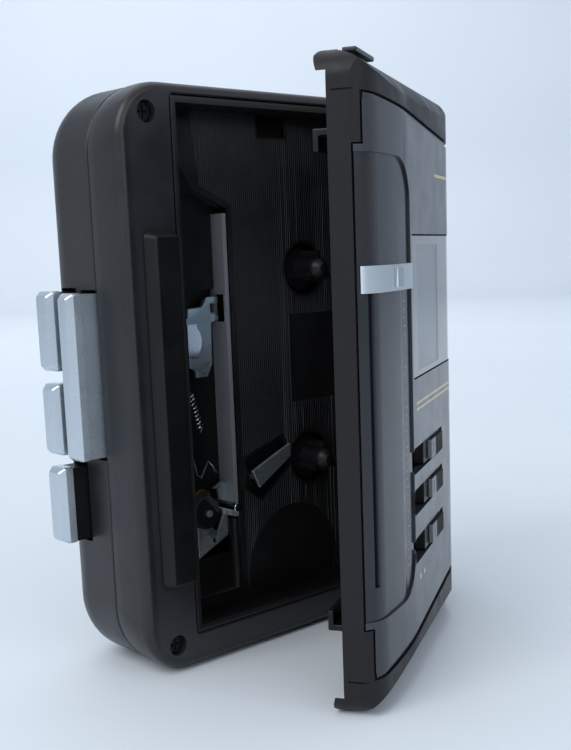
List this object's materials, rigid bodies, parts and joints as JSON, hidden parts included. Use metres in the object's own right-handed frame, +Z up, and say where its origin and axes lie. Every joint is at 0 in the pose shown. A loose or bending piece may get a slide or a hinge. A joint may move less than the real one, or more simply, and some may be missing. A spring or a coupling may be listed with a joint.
{
  "type": "portable cassette player",
  "caption": "Pocket tape player standing on its short end with a hinged lid open, side-mounted piano keys, slide controls on the lid and a tape deck inside.",
  "frame": {"origin": "middle of the flat bottom end face of the body", "axes": "+Z up along the body's height, +X from the key side to the lid hinge side, -Y out of the front where the lid is"},
  "size_m": [0.0973, 0.0723, 0.1172],
  "materials": {
    "shell_plastic": "fine satin moulded black plastic",
    "panel_gloss": "glossy dark blue-grey",
    "inner_plastic": "semi-gloss black",
    "silver_plastic": "satin silver",
    "steel": "stamped and plated",
    "brass": "turned",
    "rubber": "matte",
    "nylon": "natural moulded nylon",
    "circuit_board": "solder-masked laminate",
    "window_clear": "clear moulded window with a dark printed border"
  },
  "bodies": {
    "case": {"rear_cover": "shell_plastic", "front_frame": "shell_plastic", "case_screw_1": "steel", "case_screw_2": "steel", "key_mechanism_cover": "inner_plastic", "hinge_pin_lower": "steel", "hinge_pin_upper": "steel", "deck_plate": "inner_plastic", "mechanism_chassis": "steel", "capstan_bearing": "brass", "capstan_plate": "steel", "motor": "steel", "drive_belt": "rubber", "head_return_spring": "steel", "pinch_spring": "steel", "main_board": "circuit_board", "headphone_jack": "inner_plastic", "battery_contact_plate": "steel", "battery_spring_contact": "steel", "key_spring_comb": "steel"},
    "lid": {"lid_shell": "shell_plastic", "front_panel": "panel_gloss", "window_lens": "window_clear", "band_switch_body": "steel", "tone_switch_body": "steel", "mode_switch_body": "steel", "lid_liner": "inner_plastic", "tuner_board": "circuit_board", "cassette_spring": "steel", "cassette_guide_lower": "inner_plastic", "cassette_guide_upper": "inner_plastic", "lid_tab": "inner_plastic"},
    "play_key": {"play_key": "silver_plastic"},
    "rewind_key": {"rewind_key": "silver_plastic"},
    "forward_key": {"forward_key": "silver_plastic"},
    "stop_key": {"stop_key": "silver_plastic"},
    "tuning_slider": {"tuning_slider": "silver_plastic"},
    "band_switch": {"band_switch_knob": "inner_plastic"},
    "tone_switch": {"tone_switch_knob": "inner_plastic"},
    "mode_switch": {"mode_switch_knob": "inner_plastic"},
    "capstan": {"capstan_shaft": "steel", "flywheel": "brass", "capstan_gear": "nylon"},
    "idler": {"idler_gear": "nylon"},
    "takeup_reel": {"takeup_spindle": "inner_plastic", "takeup_gear": "nylon"},
    "supply_reel": {"supply_spindle": "inner_plastic"},
    "pulley": {"motor_pulley": "brass"},
    "head_slide": {"head_bracket": "steel", "tape_head": "steel"},
    "pinch_lever": {"pinch_arm": "steel"},
    "pinch_roller": {"pinch_roller": "rubber"},
    "auto_stop": {"auto_stop_lever": "steel"},
    "volume": {"volume_wheel": "inner_plastic"},
    "battery_door": {"battery_door": "shell_plastic"}
  },
  "joints": [
    {"name": "lid_hinge", "type": "hinge", "parent": "case", "child": "lid", "pos_m": [0.041, -0.0105, 0.058], "axis": [0, 0, 1], "range_deg": [-28.5, 0]},
    {"name": "play_key_press", "type": "slide", "parent": "case", "child": "play_key", "axis": [1, 0, 0], "range_m": [0, 0.003], "stiffness_N_per_m": 300, "springref_m": -0.001},
    {"name": "rewind_key_press", "type": "slide", "parent": "case", "child": "rewind_key", "axis": [1, 0, 0], "range_m": [0, 0.003], "stiffness_N_per_m": 300, "springref_m": -0.001},
    {"name": "forward_key_press", "type": "slide", "parent": "case", "child": "forward_key", "axis": [1, 0, 0], "range_m": [0, 0.003], "stiffness_N_per_m": 300, "springref_m": -0.001},
    {"name": "stop_key_press", "type": "slide", "parent": "case", "child": "stop_key", "axis": [1, 0, 0], "range_m": [0, 0.003], "stiffness_N_per_m": 300, "springref_m": -0.001},
    {"name": "head_slide", "type": "slide", "parent": "case", "child": "head_slide", "axis": [1, 0, 0], "range_m": [0, 0.002]},
    {"name": "pinch_swing", "type": "hinge", "parent": "case", "child": "pinch_lever", "pos_m": [-0.0292, -0.0041, 0.047], "axis": [0, 1, 0], "range_deg": [-10, 0]},
    {"name": "pinch_roller_spin", "type": "hinge", "parent": "pinch_lever", "child": "pinch_roller", "pos_m": [-0.0269, -0.0085, 0.031], "axis": [0, 1, 0], "continuous": true},
    {"name": "capstan_spin", "type": "hinge", "parent": "case", "child": "capstan", "pos_m": [-0.0195, 0.0015, 0.031], "axis": [0, 1, 0], "continuous": true},
    {"name": "idler_spin", "type": "hinge", "parent": "case", "child": "idler", "pos_m": [-0.00709, 0.0035, 0.03489], "axis": [0, 1, 0], "continuous": true},
    {"name": "takeup_spin", "type": "hinge", "parent": "case", "child": "takeup_reel", "pos_m": [0.0093, -0.0035, 0.03675], "axis": [0, 1, 0], "continuous": true},
    {"name": "supply_spin", "type": "hinge", "parent": "case", "child": "supply_reel", "pos_m": [0.0093, -0.0035, 0.07925], "axis": [0, 1, 0], "continuous": true},
    {"name": "pulley_spin", "type": "hinge", "parent": "case", "child": "pulley", "pos_m": [0.01, 0.0085, 0.014], "axis": [0, 1, 0], "continuous": true},
    {"name": "auto_stop_swing", "type": "hinge", "parent": "case", "child": "auto_stop", "pos_m": [-0.0076, -0.0055, 0.0349], "axis": [0, 1, 0], "range_deg": [-6, 6]},
    {"name": "volume_turn", "type": "hinge", "parent": "case", "child": "volume", "pos_m": [0.012, 0.005, 0.1089], "axis": [0, 1, 0], "range_deg": [-140, 140]},
    {"name": "battery_door_hinge", "type": "hinge", "parent": "case", "child": "battery_door", "pos_m": [0.025, 0.0126, 0.058], "axis": [0, 0, 1], "range_deg": [0, 100]},
    {"name": "tuning_slide", "type": "slide", "parent": "lid", "child": "tuning_slider", "axis": [0, 0, 1], "range_m": [-0.052, 0]},
    {"name": "band_switch_slide", "type": "slide", "parent": "lid", "child": "band_switch", "axis": [0.8788, 0.4772, 0], "range_m": [-0.006, 0.001]},
    {"name": "tone_switch_slide", "type": "slide", "parent": "lid", "child": "tone_switch", "axis": [0.8788, 0.4772, 0], "range_m": [-0.006, 0.001]},
    {"name": "mode_switch_slide", "type": "slide", "parent": "lid", "child": "mode_switch", "axis": [0.8788, 0.4772, 0], "range_m": [-0.006, 0.001]}
  ],
  "couplings": [
    {"joint": "head_slide", "follows": "play_key_press", "ratio": 0.6666},
    {"joint": "pinch_swing", "follows": "play_key_press", "rad_per_m": -57.6},
    {"joint": "idler_spin", "follows": "capstan_spin", "ratio": -0.52941},
    {"joint": "takeup_spin", "follows": "capstan_spin", "ratio": 0.5625},
    {"joint": "pulley_spin", "follows": "capstan_spin", "ratio": 4.3333}
  ]
}
